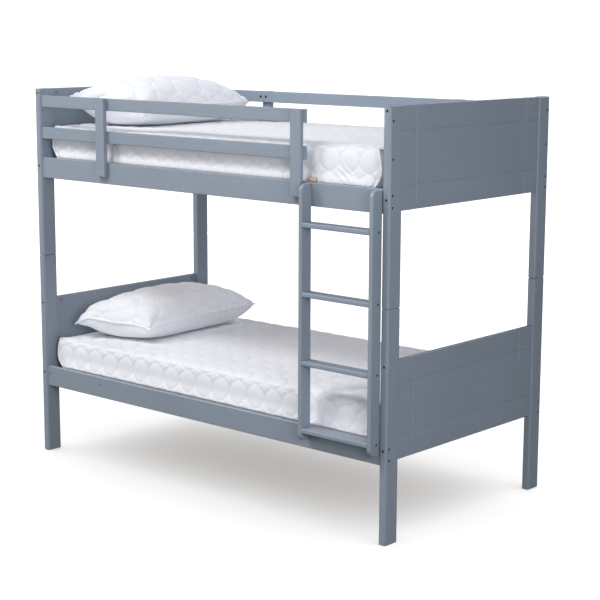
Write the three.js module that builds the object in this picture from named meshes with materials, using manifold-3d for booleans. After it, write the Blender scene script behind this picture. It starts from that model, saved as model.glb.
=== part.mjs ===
// Twin-over-twin bunk bed with a straight ladder, two mattresses and two pillows.
// Millimetres, +Z up. +X runs along the bed from the head end to the foot end, and -Y is the
// ladder side. The origin is on the floor, under the middle of the bed's whole outline with
// the ladder.
import * as THREE from "three";
import { mergeVertices } from "three/addons/utils/BufferGeometryUtils.js";
import Module from "manifold-3d";

const wasm = await Module();
wasm.setup();

// ---------------------------------------------------------------- driving dimensions

const BED_LENGTH = 1999; // over the posts, along X
const BED_WIDTH = 1036.3; // over the posts, along Y
const BED_HEIGHT = 1640.8; // floor to the top of the posts
const POST_JOINT_HEIGHT = 901; // where the upper bed stands on the lower one
const GAP = 0.3; // between pieces that touch

const POST_THICKNESS = 35; // along X
const POST_DEPTH = 74; // along Y
const POST_CORNER_RADIUS = 9;
const POST_END_CHAMFER = 3;

const BOARD_THICKNESS = 19; // side rails, guard rails, guard stiles and ladder boards
const BOARD_EDGE_RADIUS = 3;

const RAIL_SETBACK = 8; // post face to rail face
const SIDE_RAIL_HEIGHT = 90;
const LOWER_RAIL_BOTTOM = 306;
const UPPER_RAIL_BOTTOM = 1250;

const PANEL_THICKNESS = 18;
const PANEL_HEIGHT = 383;
const PANEL_SETBACK = 5; // post outer face to panel outer face
const LOWER_PANEL_BOTTOM = 321.5;
const UPPER_PANEL_BOTTOM = 1257.5;
const GROOVE_WIDTH = 6;
const GROOVE_DEPTH = 2.5;
const GROOVE_HEIGHTS = [91, 291]; // above the panel's bottom edge
const GROOVE_FROM_MIDDLE = 354; // the upright grooves, each side of the panel's middle

const GUARD_RAIL_HEIGHT = 51;
const GUARD_TOP_RAIL_BOTTOM = 1561;
const GUARD_MIDDLE_RAIL_BOTTOM = 1422.5;
const GUARD_STILE_WIDTH = 54;
const GUARD_STILE_BOTTOM = 1283;
const HEAD_STILE_FROM_END = 439; // head end of the bed to the middle of the first stile
const FOOT_STILE_FROM_END = 1550; // and to the middle of the second one

const CLEAT_THICKNESS = 20;
const CLEAT_HEIGHT = 28;
const SLAT_COUNT = 9;
const SLAT_WIDTH = 95;
const SLAT_THICKNESS = 19;
const SLAT_END_CLEARANCE = 2;

const LADDER_FROM_END = 1600; // head end of the bed to the ladder's head-side face
const LADDER_WIDTH = 360; // over both stiles
const LADDER_DEPTH = 55;
const LADDER_STILE_THICKNESS = 18;
const LADDER_BOTTOM = 345;
const LADDER_TOP_BELOW_RAIL = 2; // below the top edge of the upper side rail
const LADDER_CORNER_RADIUS = 28;
const RUNG_COUNT = 4;
const RUNG_THICKNESS = 19;
const LOWEST_RUNG_TOP = 397;
const RUNG_SPACING = 265.5;
const RUNG_EDGE_RADIUS = 5;
const RUNG_BOLT_FROM_REAR = 18; // ladder's rear edge to the bolts through its stiles
const PILOT_HOLE_RADIUS = 3.5; // for the ladder's foot, when it stands at the head end instead
const PILOT_HOLE_ABOVE_RAIL = 57; // above the lower side rail's bottom edge

const BOLT_POCKET_RADIUS = 5.5;
const BOLT_POCKET_DEPTH = 9;
const PANEL_BOLT_HEIGHTS = [44, 364]; // above the panel's bottom edge
const SIDE_RAIL_BOLT_SPREAD = 44; // between the two bolts at each end of a side rail
const PIN_RADIUS = 6;
const PIN_LENGTH = 80;
const ROUND_SIDES = 12; // facets round a pin, its bore and a bolt pocket

const MATTRESS_LENGTH = 1905;
const MATTRESS_WIDTH = 965;
const MATTRESS_CORNER_RADIUS = 45;
const MATTRESS_EDGE_RADIUS = 25;
const LOWER_MATTRESS_HEIGHT = 168;
const UPPER_MATTRESS_HEIGHT = 180;

const PILLOW_DEPTH = 410; // along the bed
const PILLOW_LENGTH = 730; // across the bed
const PILLOW_RISE = 130; // seam to crown
const PILLOW_SAG = 76; // seam to underside
const PILLOW_FROM_END = 262; // head end of the bed to the pillow's middle
const PILLOW_SIDE_SHIFT = 35; // pillow's middle behind the bed's middle
const PILLOW_TURN = THREE.MathUtils.degToRad(6);
const PILLOW_SQUARENESS = 0.55; // 1 is an ellipse, towards 0 is a rectangle

// ---------------------------------------------------------------- worked-out places

const HEAD_END = -BED_LENGTH / 2;
const FOOT_END = BED_LENGTH / 2;
const RAIL_LENGTH = BED_LENGTH - 2 * POST_THICKNESS - 2 * GAP;
const RAIL_OUTER_Y = BED_WIDTH / 2 - RAIL_SETBACK;
const RAIL_MIDDLE_Y = RAIL_OUTER_Y - BOARD_THICKNESS / 2;
const RAIL_INNER_Y = RAIL_OUTER_Y - BOARD_THICKNESS;
const STILE_MIDDLE_Y = RAIL_OUTER_Y + GAP + BOARD_THICKNESS / 2;
const GUARD_TOP = GUARD_TOP_RAIL_BOTTOM + GUARD_RAIL_HEIGHT;
const POST_X = BED_LENGTH / 2 - POST_THICKNESS / 2;
const POST_Y = BED_WIDTH / 2 - POST_DEPTH / 2;
const SLAT_BOTTOM_ABOVE_RAIL = CLEAT_HEIGHT + GAP;
const MATTRESS_ABOVE_RAIL = SLAT_BOTTOM_ABOVE_RAIL + SLAT_THICKNESS + GAP;
const CLEAT_LENGTH = RAIL_LENGTH - 2 * SLAT_END_CLEARANCE;
const FRONT_LIMIT = -(RAIL_OUTER_Y + GAP + LADDER_DEPTH);
const REAR_LIMIT = STILE_MIDDLE_Y + BOARD_THICKNESS / 2;
const OUTLINE_SHIFT = -(FRONT_LIMIT + REAR_LIMIT) / 2; // from the posts' middle to the outline's

// ---------------------------------------------------------------- materials

function paintedWood() {
  return new THREE.MeshStandardMaterial({ color: 0x7d8894, roughness: 0.48, metalness: 0 });
}

function bareWood() {
  return new THREE.MeshStandardMaterial({ color: 0xcfae7c, roughness: 0.7, metalness: 0 });
}

function quiltedFabric() {
  return new THREE.MeshStandardMaterial({ color: 0xeceef2, roughness: 0.9, metalness: 0 });
}

// ---------------------------------------------------------------- solid building

// A manifold solid of a closed three.js geometry.
function solidOf(geometry) {
  const positionsOnly = geometry.clone();
  positionsOnly.deleteAttribute("normal");
  positionsOnly.deleteAttribute("uv");
  const merged = mergeVertices(positionsOnly, 1e-3);
  return new wasm.Manifold(
    new wasm.Mesh({
      numProp: 3,
      vertProperties: merged.attributes.position.array,
      triVerts: new Uint32Array(merged.index.array),
    }),
  );
}

// The three.js geometry of a manifold solid.
function geometryOf(solid) {
  const mesh = solid.getMesh();
  const geometry = new THREE.BufferGeometry();
  geometry.setAttribute("position", new THREE.BufferAttribute(mesh.vertProperties, 3));
  geometry.setIndex(new THREE.BufferAttribute(mesh.triVerts, 1));
  geometry.computeVertexNormals();
  return geometry;
}

// The geometry with each of the cutters taken out of it.
function cut(geometry, cutters) {
  let solid = solidOf(geometry);
  for (const cutter of cutters) {
    solid = solid.subtract(solidOf(cutter));
  }
  return geometryOf(solid);
}

// A rectangle about the origin with its corners rounded.
function roundedRectangle(width, height, radius) {
  const x = width / 2;
  const y = height / 2;
  const shape = new THREE.Shape();
  shape.moveTo(-x + radius, -y);
  shape.lineTo(x - radius, -y);
  shape.absarc(x - radius, -y + radius, radius, -Math.PI / 2, 0);
  shape.lineTo(x, y - radius);
  shape.absarc(x - radius, y - radius, radius, 0, Math.PI / 2);
  shape.lineTo(-x + radius, y);
  shape.absarc(-x + radius, y - radius, radius, Math.PI / 2, Math.PI);
  shape.lineTo(-x, -y + radius);
  shape.absarc(-x + radius, -y + radius, radius, Math.PI, 1.5 * Math.PI);
  return shape;
}

// A bar along Z with a rounded section, centred on the origin, its two ends chamfered.
function uprightBar(sizeX, sizeY, length, radius, chamfer, cornerSteps) {
  const geometry = new THREE.ExtrudeGeometry(roundedRectangle(sizeX, sizeY, radius), {
    depth: length - 2 * chamfer,
    curveSegments: cornerSteps,
    bevelEnabled: chamfer > 0,
    bevelThickness: chamfer,
    bevelSize: chamfer,
    bevelOffset: -chamfer,
    bevelSegments: 1,
  });
  return geometry.translate(0, 0, chamfer - length / 2);
}

// A board along X with softened long edges, centred on the origin.
function boardAlongX(length, thickness, height) {
  const bar = uprightBar(height, thickness, length, BOARD_EDGE_RADIUS, 0, 2);
  return bar.rotateY(Math.PI / 2);
}

// A board along Y with softened long edges, centred on the origin.
function boardAlongY(thickness, length, height) {
  const bar = uprightBar(thickness, height, length, BOARD_EDGE_RADIUS, 0, 2);
  return bar.rotateX(-Math.PI / 2);
}

// A round cutter from a face inwards; direction is the unit vector into the wood.
function roundCutter(position, direction, radius, depth) {
  const overshoot = 1;
  const length = depth + overshoot;
  const cutter = new THREE.CylinderGeometry(radius, radius, length, ROUND_SIDES);
  const turn = new THREE.Quaternion().setFromUnitVectors(new THREE.Vector3(0, 1, 0), direction);
  cutter.applyQuaternion(turn);
  const middle = direction.clone().multiplyScalar(length / 2 - overshoot).add(position);
  return cutter.translate(middle.x, middle.y, middle.z);
}

// The pocket that a bolt head sits in.
function boltPocket(position, direction) {
  return roundCutter(position, direction, BOLT_POCKET_RADIUS, BOLT_POCKET_DEPTH);
}

// The bore for half of a joint pin, centred on the given height.
function pinBore(height) {
  const cutter = new THREE.CylinderGeometry(
    PIN_RADIUS + GAP, PIN_RADIUS + GAP, PIN_LENGTH + 2, ROUND_SIDES,
  );
  return cutter.rotateX(Math.PI / 2).translate(0, 0, height);
}

// ---------------------------------------------------------------- the sub-parts

// One post of one bed, with pockets for its bolts. Its X and Y are the post's own middle.
// endSign is +1 at the foot end, sideSign is -1 at the ladder side.
function postGeometry(bottom, top, endSign, sideSign, sideBoltHeights, panelBoltHeights) {
  const length = top - bottom;
  const post = uprightBar(
    POST_THICKNESS, POST_DEPTH, length, POST_CORNER_RADIUS, POST_END_CHAMFER, 4,
  ).translate(0, 0, bottom + length / 2);
  const railY = sideSign * (RAIL_MIDDLE_Y - POST_Y);
  const cutters = [pinBore(POST_JOINT_HEIGHT)];
  for (const height of sideBoltHeights) {
    const start = new THREE.Vector3((endSign * POST_THICKNESS) / 2, railY, height);
    cutters.push(boltPocket(start, new THREE.Vector3(-endSign, 0, 0)));
  }
  for (const height of panelBoltHeights) {
    const start = new THREE.Vector3(0, (sideSign * POST_DEPTH) / 2, height);
    cutters.push(boltPocket(start, new THREE.Vector3(0, -sideSign, 0)));
  }
  return cut(post, cutters);
}

// A V-shaped cutter along Y, its point towards -X, centred on the origin.
function grooveCutter(length) {
  const overshoot = 1;
  const section = new THREE.Shape();
  const mouth = (GROOVE_WIDTH / 2) * (1 + overshoot / GROOVE_DEPTH);
  section.moveTo(-GROOVE_DEPTH, 0);
  section.lineTo(overshoot, -mouth);
  section.lineTo(overshoot, mouth);
  const groove = new THREE.ExtrudeGeometry(section, { depth: length, bevelEnabled: false });
  return groove.translate(0, 0, -length / 2).rotateX(-Math.PI / 2);
}

// An end panel with its grooved face towards +X, centred in X and Y, standing on z = 0.
function panelGeometry() {
  const panelWidth = BED_WIDTH - 2 * POST_DEPTH - 2 * GAP;
  const face = PANEL_THICKNESS / 2;
  const board = boardAlongY(PANEL_THICKNESS, panelWidth, PANEL_HEIGHT);
  board.translate(0, 0, PANEL_HEIGHT / 2);
  const cutters = GROOVE_HEIGHTS.map((height) =>
    grooveCutter(panelWidth + 2).translate(face, 0, height),
  );
  for (const side of [-1, 1]) {
    const upright = grooveCutter(PANEL_HEIGHT + 2).rotateX(Math.PI / 2);
    cutters.push(upright.translate(face, side * GROOVE_FROM_MIDDLE, PANEL_HEIGHT / 2));
  }
  return cut(board, cutters);
}

// A ladder stile: a flat board whose two front corners are rounded, with a bolt pocket for each
// rung in its outer face. Its rear edge is at y = 0 and its foot at z = 0.
function ladderStileGeometry(height, endSign, rungMiddles) {
  const radius = LADDER_CORNER_RADIUS;
  const bevel = 2;
  const outline = new THREE.Shape();
  outline.moveTo(0, 0);
  outline.lineTo(0, height);
  outline.lineTo(-LADDER_DEPTH + radius, height);
  outline.absarc(-LADDER_DEPTH + radius, height - radius, radius, Math.PI / 2, Math.PI);
  outline.lineTo(-LADDER_DEPTH, radius);
  outline.absarc(-LADDER_DEPTH + radius, radius, radius, Math.PI, 1.5 * Math.PI);
  const board = new THREE.ExtrudeGeometry(outline, {
    depth: LADDER_STILE_THICKNESS - 2 * bevel,
    curveSegments: 8,
    bevelEnabled: true,
    bevelThickness: bevel,
    bevelSize: bevel,
    bevelOffset: -bevel,
    bevelSegments: 1,
  });
  // The outline's own x and y become the stile's Y and Z, and the thickness lies along X.
  board.translate(0, 0, bevel - LADDER_STILE_THICKNESS / 2);
  board.rotateX(Math.PI / 2).rotateZ(Math.PI / 2);
  const inward = new THREE.Vector3(-endSign, 0, 0);
  const pockets = rungMiddles.map((middle) => {
    const face = new THREE.Vector3((endSign * LADDER_STILE_THICKNESS) / 2, -RUNG_BOLT_FROM_REAR, middle);
    return boltPocket(face, inward);
  });
  return cut(board, pockets);
}

// The side rail on the lower bed's ladder side, with two holes through it for the ladder's foot
// at the head end. Centred on the origin.
function drilledRailGeometry() {
  const rail = boardAlongX(RAIL_LENGTH, BOARD_THICKNESS, SIDE_RAIL_HEIGHT);
  const stileSpread = LADDER_WIDTH - LADDER_STILE_THICKNESS;
  const nearest = HEAD_END + BED_LENGTH - LADDER_FROM_END - LADDER_WIDTH + LADDER_STILE_THICKNESS / 2;
  const holes = [nearest, nearest + stileSpread].map((x) => {
    const height = PILOT_HOLE_ABOVE_RAIL - SIDE_RAIL_HEIGHT / 2;
    const mouth = new THREE.Vector3(x, -BOARD_THICKNESS / 2, height);
    return roundCutter(mouth, new THREE.Vector3(0, 1, 0), PILOT_HOLE_RADIUS, BOARD_THICKNESS + 1);
  });
  return cut(rail, holes);
}

// A ladder rung along X, centred in X, its rear edge at y = 0 and its tread at z = 0.
function rungGeometry() {
  const length = LADDER_WIDTH - 2 * LADDER_STILE_THICKNESS - 2 * GAP;
  const bar = uprightBar(RUNG_THICKNESS, LADDER_DEPTH, length, RUNG_EDGE_RADIUS, 0, 3);
  return bar.rotateY(Math.PI / 2).translate(0, -LADDER_DEPTH / 2, -RUNG_THICKNESS / 2);
}

// A mattress: a slab with rounded corners and softened edges, standing on z = 0.
function mattressGeometry(height) {
  const plan = roundedRectangle(MATTRESS_LENGTH, MATTRESS_WIDTH, MATTRESS_CORNER_RADIUS);
  const slab = new THREE.ExtrudeGeometry(plan, {
    depth: height - 2 * MATTRESS_EDGE_RADIUS,
    curveSegments: 5,
    bevelEnabled: true,
    bevelThickness: MATTRESS_EDGE_RADIUS,
    bevelSize: MATTRESS_EDGE_RADIUS,
    bevelOffset: -MATTRESS_EDGE_RADIUS,
    bevelSegments: 3,
  });
  return slab.translate(0, 0, MATTRESS_EDGE_RADIUS);
}

// A plump pillow: a ball squared off in plan, its underside flatter than its crown, its lowest
// point at z = 0.
function pillowGeometry() {
  const ball = new THREE.SphereGeometry(1, 32, 14).rotateX(Math.PI / 2);
  const points = ball.attributes.position;
  for (let i = 0; i < points.count; i += 1) {
    const x = points.getX(i);
    const y = points.getY(i);
    const z = points.getZ(i);
    const girth = Math.hypot(x, y);
    const squareX = Math.sign(x) * Math.abs(girth > 0 ? x / girth : 0) ** PILLOW_SQUARENESS;
    const squareY = Math.sign(y) * Math.abs(girth > 0 ? y / girth : 0) ** PILLOW_SQUARENESS;
    points.setXYZ(
      i,
      (squareX * girth * PILLOW_DEPTH) / 2,
      (squareY * girth * PILLOW_LENGTH) / 2,
      z * (z > 0 ? PILLOW_RISE : PILLOW_SAG),
    );
  }
  return ball.translate(0, 0, PILLOW_SAG);
}

// ---------------------------------------------------------------- putting the bed together

// Inside this group the origin is under the middle of the four posts.
const bed = new THREE.Group();
bed.position.y = OUTLINE_SHIFT;

function addPiece(name, geometry, material, x, y, z, parent = bed) {
  const piece = new THREE.Mesh(geometry, material);
  piece.name = name;
  piece.position.set(x, y, z);
  parent.add(piece);
  return piece;
}

const ENDS = [["head", -1], ["foot", 1]];
const SIDES = [["front", -1], ["rear", 1]];

// The posts, end panels, side rails, cleats and slats that each of the two beds has.
function addBed(level, railBottom, panelBottom, postBottom, postTop, guardBoltHeights) {
  const railMiddle = railBottom + SIDE_RAIL_HEIGHT / 2;
  const spread = SIDE_RAIL_BOLT_SPREAD / 2;
  const sideBolts = [railMiddle - spread, railMiddle + spread, ...guardBoltHeights];
  const panelBolts = PANEL_BOLT_HEIGHTS.map((height) => panelBottom + height);
  for (const [side, sideSign] of SIDES) {
    for (const [end, endSign] of ENDS) {
      const post = postGeometry(postBottom, postTop, endSign, sideSign, sideBolts, panelBolts);
      addPiece(
        `${level}_post_${side}_${end}`, post, paintedWood(), endSign * POST_X, sideSign * POST_Y, 0,
      );
    }
    const rail = level === "lower" && side === "front"
      ? drilledRailGeometry()
      : boardAlongX(RAIL_LENGTH, BOARD_THICKNESS, SIDE_RAIL_HEIGHT);
    addPiece(
      `${level}_side_rail_${side}`, rail, paintedWood(), 0, sideSign * RAIL_MIDDLE_Y, railMiddle,
    );
    const cleat = new THREE.BoxGeometry(CLEAT_LENGTH, CLEAT_THICKNESS, CLEAT_HEIGHT);
    const cleatY = RAIL_INNER_Y - GAP - CLEAT_THICKNESS / 2;
    addPiece(
      `${level}_slat_cleat_${side}`, cleat, bareWood(), 0, sideSign * cleatY,
      railBottom + CLEAT_HEIGHT / 2,
    );
  }
  for (const [end, endSign] of ENDS) {
    const panelX = endSign * (BED_LENGTH / 2 - PANEL_SETBACK - PANEL_THICKNESS / 2);
    const name = `${level}_end_panel_${end}`;
    const panel = addPiece(name, panelGeometry(), paintedWood(), panelX, 0, panelBottom);
    panel.rotation.z = endSign > 0 ? 0 : Math.PI;
  }
  addSlats(level, railBottom);
}

// Evenly spaced slats across the two cleats.
function addSlats(level, railBottom) {
  const slatLength = 2 * (RAIL_INNER_Y - SLAT_END_CLEARANCE);
  const pitch = MATTRESS_LENGTH / SLAT_COUNT;
  const middle = railBottom + SLAT_BOTTOM_ABOVE_RAIL + SLAT_THICKNESS / 2;
  for (let i = 0; i < SLAT_COUNT; i += 1) {
    const x = (i - (SLAT_COUNT - 1) / 2) * pitch;
    const slat = boardAlongY(SLAT_WIDTH, slatLength, SLAT_THICKNESS);
    addPiece(`${level}_slat_${i + 1}`, slat, bareWood(), x, 0, middle);
  }
}

// The pins that locate the upper posts on the lower ones.
function addJointPins() {
  for (const [side, sideSign] of SIDES) {
    for (const [end, endSign] of ENDS) {
      const pin = new THREE.CylinderGeometry(PIN_RADIUS, PIN_RADIUS, PIN_LENGTH, ROUND_SIDES);
      pin.rotateX(Math.PI / 2);
      addPiece(
        `joint_pin_${side}_${end}`, pin, bareWood(), endSign * POST_X, sideSign * POST_Y,
        POST_JOINT_HEIGHT,
      );
    }
  }
}

// The two guard rails of one side with the two stiles that hold them to the side rail. The
// front pair stops at the second stile, which leaves the way in from the ladder.
function addGuard(side, sideSign) {
  const start = HEAD_END + POST_THICKNESS + GAP;
  const stileEnd = HEAD_END + FOOT_STILE_FROM_END + GUARD_STILE_WIDTH / 2;
  const end = side === "front" ? stileEnd : FOOT_END - POST_THICKNESS - GAP;
  const rails = [["top", GUARD_TOP_RAIL_BOTTOM], ["middle", GUARD_MIDDLE_RAIL_BOTTOM]];
  for (const [place, bottom] of rails) {
    const rail = boardAlongX(end - start, BOARD_THICKNESS, GUARD_RAIL_HEIGHT);
    addPiece(
      `guard_${place}_rail_${side}`, rail, paintedWood(), (start + end) / 2,
      sideSign * RAIL_MIDDLE_Y, bottom + GUARD_RAIL_HEIGHT / 2,
    );
  }
  const stiles = [["head", HEAD_STILE_FROM_END], ["foot", FOOT_STILE_FROM_END]];
  const stileHeight = GUARD_TOP - GUARD_STILE_BOTTOM;
  for (const [place, fromEnd] of stiles) {
    const stile = uprightBar(
      GUARD_STILE_WIDTH, BOARD_THICKNESS, stileHeight, BOARD_EDGE_RADIUS, 1, 2,
    );
    addPiece(
      `guard_stile_${side}_${place}`, stile, paintedWood(), HEAD_END + fromEnd,
      sideSign * STILE_MIDDLE_Y, GUARD_STILE_BOTTOM + stileHeight / 2,
    );
  }
}

// The ladder stands against the front faces of both side rails, at the foot end.
function addLadder() {
  const ladder = new THREE.Group();
  ladder.position.set(
    HEAD_END + LADDER_FROM_END + LADDER_WIDTH / 2, -RAIL_OUTER_Y - GAP, LADDER_BOTTOM,
  );
  bed.add(ladder);
  const ladderTop = UPPER_RAIL_BOTTOM + SIDE_RAIL_HEIGHT - LADDER_TOP_BELOW_RAIL;
  const stileX = (LADDER_WIDTH - LADDER_STILE_THICKNESS) / 2;
  const rungMiddles = [];
  for (let i = 0; i < RUNG_COUNT; i += 1) {
    const tread = LOWEST_RUNG_TOP - LADDER_BOTTOM + i * RUNG_SPACING;
    rungMiddles.push(tread - RUNG_THICKNESS / 2);
    addPiece(`ladder_rung_${i + 1}`, rungGeometry(), paintedWood(), 0, 0, tread, ladder);
  }
  for (const [end, endSign] of ENDS) {
    const stile = ladderStileGeometry(ladderTop - LADDER_BOTTOM, endSign, rungMiddles);
    addPiece(`ladder_stile_${end}`, stile, paintedWood(), endSign * stileX, 0, 0, ladder);
  }
}

// A mattress on the slats with a pillow lying a little askew at its head end.
function addBedding(level, railBottom, mattressHeight) {
  const mattressBottom = railBottom + MATTRESS_ABOVE_RAIL;
  addPiece(
    `${level}_mattress`, mattressGeometry(mattressHeight), quiltedFabric(), 0, 0, mattressBottom,
  );
  const pillow = addPiece(
    `${level}_pillow`, pillowGeometry(), quiltedFabric(), HEAD_END + PILLOW_FROM_END,
    PILLOW_SIDE_SHIFT, mattressBottom + mattressHeight + GAP,
  );
  pillow.rotation.z = PILLOW_TURN;
}

const guardBolts = [GUARD_TOP_RAIL_BOTTOM, GUARD_MIDDLE_RAIL_BOTTOM].map(
  (bottom) => bottom + GUARD_RAIL_HEIGHT / 2,
);
addBed("lower", LOWER_RAIL_BOTTOM, LOWER_PANEL_BOTTOM, 0, POST_JOINT_HEIGHT - GAP, []);
addJointPins();
addBed(
  "upper", UPPER_RAIL_BOTTOM, UPPER_PANEL_BOTTOM, POST_JOINT_HEIGHT + GAP, BED_HEIGHT, guardBolts,
);
for (const [side, sideSign] of SIDES) {
  addGuard(side, sideSign);
}
addLadder();
addBedding("lower", LOWER_RAIL_BOTTOM, LOWER_MATTRESS_HEIGHT);
addBedding("upper", UPPER_RAIL_BOTTOM, UPPER_MATTRESS_HEIGHT);

const bunkBed = new THREE.Group();
bunkBed.add(bed);

export default bunkBed;
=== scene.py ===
"""Looks of the bunk bed: painted-wood frame, dark fasteners, quilted mattresses and stuffed pillows."""
import itertools
import math

import bmesh
import bpy
import numpy as np
from mathutils import Matrix, Vector


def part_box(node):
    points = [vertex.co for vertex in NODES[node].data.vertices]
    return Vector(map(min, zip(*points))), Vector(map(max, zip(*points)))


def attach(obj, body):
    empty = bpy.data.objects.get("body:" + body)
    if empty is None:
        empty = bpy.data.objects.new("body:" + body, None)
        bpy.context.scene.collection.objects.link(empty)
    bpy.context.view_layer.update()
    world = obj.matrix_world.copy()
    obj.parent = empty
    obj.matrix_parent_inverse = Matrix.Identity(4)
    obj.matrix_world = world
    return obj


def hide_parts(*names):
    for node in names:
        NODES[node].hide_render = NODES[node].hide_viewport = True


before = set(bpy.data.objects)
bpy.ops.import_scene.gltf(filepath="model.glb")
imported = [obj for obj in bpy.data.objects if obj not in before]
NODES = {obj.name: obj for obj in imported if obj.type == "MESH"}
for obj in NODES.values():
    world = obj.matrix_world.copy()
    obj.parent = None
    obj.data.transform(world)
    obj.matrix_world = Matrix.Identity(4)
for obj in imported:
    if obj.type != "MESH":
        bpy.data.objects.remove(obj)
scene = bpy.context.scene
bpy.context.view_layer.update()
MM = 0.001


def add_object(name, data):
    obj = bpy.data.objects.new(name, data)
    scene.collection.objects.link(obj)
    return obj


# ------------------------------------ camera, light and floor

CAMERA_PLACE = (4.4439, -4.85395, 1.93632)
CAMERA_TURN = (41.66823, -10.20969, 0.19993)  # yaw, pitch and roll in degrees
SENSOR_WIDTH = 36
LENS = 2.5805 * SENSOR_WIDTH  # the focal length
TARGET = (0, -0.1, 0.9)  # the middle of the bed, where most lights point


def add_camera():
    yaw, pitch, roll = (math.radians(angle) for angle in CAMERA_TURN)
    data = bpy.data.cameras.new("camera")
    data.sensor_width = SENSOR_WIDTH
    data.lens = LENS
    data.clip_start, data.clip_end = 0.1, 200
    scene.camera = add_object("camera", data)
    scene.camera.matrix_world = (
        Matrix.Translation(CAMERA_PLACE) @ Matrix.Rotation(yaw, 4, "Z")
        @ Matrix.Rotation(math.pi / 2 + pitch, 4, "X") @ Matrix.Rotation(roll, 4, "Z")
    )


def add_area_light(name, place, size, power, colour, target=TARGET, size_y=None):
    """A soft rectangular light that everything but the floor takes."""
    data = bpy.data.lights.new(name, "AREA")
    data.shape = "RECTANGLE"
    data.size, data.size_y = size, size_y or size
    data.energy = power
    data.color = colour
    light = add_object(name, data)
    light.location = place
    light.rotation_mode = "QUATERNION"
    light.rotation_quaternion = (Vector(target) - Vector(place)).to_track_quat("-Z", "Y")
    light.light_linking.receiver_collection = bpy.data.collections["not_floor"]


def level_square(half):
    """The corners of a square at z = 0."""
    return [(x * half, y * half, 0) for x, y in ((-1, -1), (1, -1), (1, 1), (-1, 1))]


def add_floor():
    mesh = bpy.data.meshes.new("floor")
    mesh.from_pydata(level_square(60), [], [(0, 1, 2, 3)])
    floor = add_object("floor", mesh)
    material = bpy.data.materials.new("floor_white")
    material.use_nodes = True
    shader = material.node_tree.nodes["Principled BSDF"]
    shader.inputs["Base Color"].default_value = (0.9, 0.9, 0.9, 1)
    shader.inputs["Roughness"].default_value = 0.9
    shader.inputs["Specular IOR Level"].default_value = 0.1
    mesh.materials.append(material)
    floor.visible_diffuse = False
    floor.visible_glossy = False


def add_world():
    """White to look at, and a dim studio to light by, a little brighter from below."""
    world = bpy.data.worlds.new("studio")
    world.use_nodes = True
    tree = world.node_tree
    link = tree.links.new
    seen = tree.nodes["Background"]
    seen.inputs["Color"].default_value = (1, 1, 1, 1)
    glow = tree.nodes.new("ShaderNodeBackground")
    direction = tree.nodes.new("ShaderNodeTexCoord")
    parts = tree.nodes.new("ShaderNodeSeparateXYZ")
    link(direction.outputs["Generated"], parts.inputs[0])
    height = tree.nodes.new("ShaderNodeMapRange")
    link(parts.outputs["Z"], height.inputs["Value"])
    for key, value in {"From Min": -0.1, "From Max": 0.1, "To Min": 0.18, "To Max": 0.14}.items():
        height.inputs[key].default_value = value
    link(height.outputs[0], glow.inputs["Color"])
    path = tree.nodes.new("ShaderNodeLightPath")
    either = tree.nodes.new("ShaderNodeMixShader")
    link(path.outputs["Is Camera Ray"], either.inputs[0])
    link(glow.outputs[0], either.inputs[1])
    link(seen.outputs[0], either.inputs[2])
    link(either.outputs[0], tree.nodes["World Output"].inputs[0])
    scene.world = world


FLOOR_LIGHTS = (  # name, strength, angle in degrees, and whether it casts the bed's shadow
    ("floor_light", 3.2, 140, True),
    ("floor_fill", 1.15, 10, False),
)


def add_floor_light():
    """Overhead lights that only the floor takes, so that it stays pale round a soft shadow."""
    only = bpy.data.collections.new("floor_only")
    only.objects.link(bpy.data.objects["floor"])
    for name, energy, degrees, shadow in FLOOR_LIGHTS:
        data = bpy.data.lights.new(name, "SUN")
        data.energy = energy
        data.angle = math.radians(degrees)
        data.use_shadow = shadow
        add_object(name, data).light_linking.receiver_collection = only
    others = bpy.data.collections.new("not_floor")
    others.objects.link(bpy.data.objects["floor"])
    others.collection_objects[0].light_linking.link_state = "EXCLUDE"


DAYLIGHT = (0.98, 0.985, 1.0)
WARM = (1.0, 0.97, 0.95)

scene.view_settings.view_transform = "Standard"
scene.view_settings.look = "None"
add_camera()
add_world()
add_floor()
add_floor_light()
add_area_light("key", (-0.5, -3.4, 5.6), 1.2, 118, DAYLIGHT)
add_area_light("key_left", (-3.0, -3.4, 4.3), 1.2, 82, DAYLIGHT)
add_area_light("key_high", (-3.0, -2.5, 5.7), 1.2, 50, DAYLIGHT)
add_area_light("fill_low", (-2.6, -4.0, 1.0), 2.0, 30, WARM)
add_area_light("fill_left", (-5.0, -1.5, 2.2), 2.0, 46, WARM)
add_area_light("fill_near", (2.7, -2.4, 1.6), 1.2, 22, (1.0, 0.99, 1.0))
add_area_light("fill_end", (6.5, -3.2, 2.4), 3.0, 168, (0.93, 0.95, 1.0))
add_area_light("top", (0.0, -0.6, 9.0), 6.0, 52, (0.97, 0.98, 1.0), (0, 0, 0.8), 4.0)
add_area_light("rear", (0.5, 3.8, 3.4), 2.0, 90, (0.9, 0.92, 1.0))

# ------------------------------------ node helpers


def with_alpha(colour):
    return (*colour, 1) if isinstance(colour, tuple) else colour


def shades(colour, *shares):
    """The colour made darker or lighter by each share."""
    return [tuple(c * share for c in colour) for share in shares]


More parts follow.
